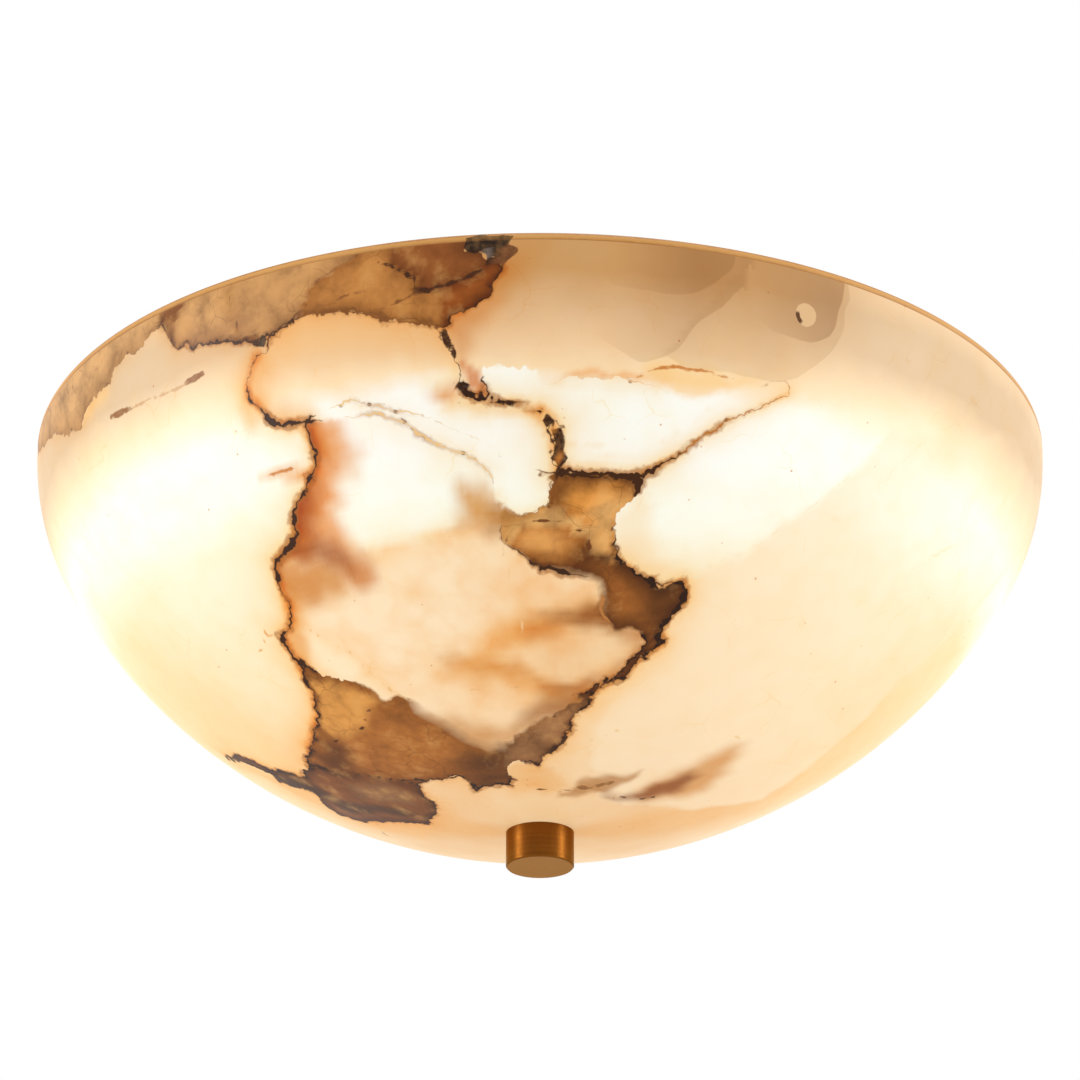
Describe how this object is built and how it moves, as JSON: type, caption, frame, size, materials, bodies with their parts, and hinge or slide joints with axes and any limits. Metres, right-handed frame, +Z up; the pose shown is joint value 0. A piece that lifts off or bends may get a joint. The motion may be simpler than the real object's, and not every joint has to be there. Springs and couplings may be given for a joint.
{
  "type": "semi-flush ceiling light",
  "caption": "Semi-flush ceiling light: a backlit veined alabaster bowl held by a brass finial on a centre rod, under a pan with an LED ring and driver.",
  "frame": {"origin": "centre of the ceiling bracket, in the plane of the ceiling", "axes": "+Z up into the ceiling, the light hangs along -Z; +X along the bracket; -Y towards the picture's viewer"},
  "size_m": [0.406, 0.4058, 0.2144],
  "materials": {
    "stone": "honed alabaster, lit from inside, with brown and black veins",
    "satin_brass": "brushed, aged satin brass, lacquered",
    "turned_brass": "plain turned brass",
    "white_enamel": "white powder coat, fine orange peel",
    "zinc_steel": "bright zinc plate",
    "green_screw": "green dyed zinc",
    "plate_aluminium": "mill finish",
    "board_mask": "white solder mask",
    "led_phosphor": "yellow phosphor",
    "opal_acrylic": "opal, satin",
    "white_nylon": "moulded nylon",
    "grey_rubber": "moulded rubber",
    "clear_silicone": "soft silicone",
    "driver_plastic": "fine textured flame-retardant plastic",
    "driver_circuit": "green solder mask with parts",
    "black_lead": "insulation",
    "white_lead": "insulation",
    "green_lead": "insulation",
    "red_lead": "insulation",
    "orange_cap": "ribbed moulded cap",
    "yellow_cap": "ribbed moulded cap",
    "green_cap": "ribbed moulded cap",
    "tinned_copper": "tin plate"
  },
  "bodies": {
    "mounting_bracket": {"mounting_bracket": "zinc_steel", "ground_screw": "green_screw", "canopy_studs": "zinc_steel", "stud_lock_nuts": "zinc_steel"},
    "fixture": {"board_connector": "white_nylon", "board_screws": "zinc_steel", "canopy": "satin_brass", "center_rod": "zinc_steel", "diffuser": "opal_acrylic", "diffuser_nut": "zinc_steel", "driver_board": "driver_circuit", "driver_case": "driver_plastic", "driver_lid": "driver_plastic", "driver_screws": "zinc_steel", "earth_lead": "green_lead", "earth_nut": "zinc_steel", "earth_screw": "zinc_steel", "earth_terminal": "tinned_copper", "housing_washer": "zinc_steel", "led_board": "board_mask", "led_chips": "led_phosphor", "led_housing": "white_enamel", "led_plate": "plate_aluminium", "line_lead": "black_lead", "neutral_lead": "white_lead", "nipple": "turned_brass", "nipple_bushing": "grey_rubber", "nipple_lock_washer": "zinc_steel", "nipple_nut": "zinc_steel", "output_lead_black": "black_lead", "output_lead_red": "red_lead", "plate_grommet": "grey_rubber", "plate_screws": "zinc_steel", "rod_coupler": "turned_brass", "seat_gasket": "clear_silicone", "seat_nut": "zinc_steel", "seat_washer": "zinc_steel", "stem_tube": "satin_brass", "wire_nut_earth": "green_cap", "wire_nut_line": "orange_cap", "wire_nut_neutral": "yellow_cap"},
    "bowl": {"stone_bowl": "stone", "bore_sleeve": "white_nylon"},
    "finial_gasket": {"finial_gasket": "clear_silicone"},
    "finial": {"finial": "satin_brass"},
    "knob_washer_left": {"knob_washer_left": "white_nylon"},
    "knob_washer_right": {"knob_washer_right": "white_nylon"},
    "canopy_knob_left": {"canopy_knob_left": "satin_brass"},
    "canopy_knob_right": {"canopy_knob_right": "satin_brass"}
  },
  "joints": [
    {"name": "canopy_drop", "type": "slide", "parent": "mounting_bracket", "child": "fixture", "axis": [0, 0, 1], "range_m": [-0.12, 0]},
    {"name": "bowl_drop", "type": "slide", "parent": "fixture", "child": "bowl", "axis": [0, 0, 1], "range_m": [-0.18, 0]},
    {"name": "finial_travel", "type": "slide", "parent": "bowl", "child": "finial_gasket", "axis": [0, 0, 1], "range_m": [-0.00876, 0]},
    {"name": "finial_turn", "type": "hinge", "parent": "finial_gasket", "child": "finial", "pos_m": [0, 0, -0.2075], "axis": [0, 0, 1], "range_deg": [-2520, 0]},
    {"name": "knob_left_travel", "type": "slide", "parent": "fixture", "child": "knob_washer_left", "axis": [0, 0, 1], "range_m": [-0.00631, 0]},
    {"name": "knob_left_turn", "type": "hinge", "parent": "knob_washer_left", "child": "canopy_knob_left", "pos_m": [-0.052, 0, -0.029], "axis": [0, 0, 1], "range_deg": [-3240, 0]},
    {"name": "knob_right_travel", "type": "slide", "parent": "fixture", "child": "knob_washer_right", "axis": [0, 0, 1], "range_m": [-0.00631, 0]},
    {"name": "knob_right_turn", "type": "hinge", "parent": "knob_washer_right", "child": "canopy_knob_right", "pos_m": [0.052, 0, -0.029], "axis": [0, 0, 1], "range_deg": [-3240, 0]}
  ],
  "couplings": [
    {"joint": "finial_travel", "follows": "finial_turn", "m_per_rad": 0.00019894},
    {"joint": "knob_left_travel", "follows": "knob_left_turn", "m_per_rad": 0.00011141},
    {"joint": "knob_right_travel", "follows": "knob_right_turn", "m_per_rad": 0.00011141}
  ]
}
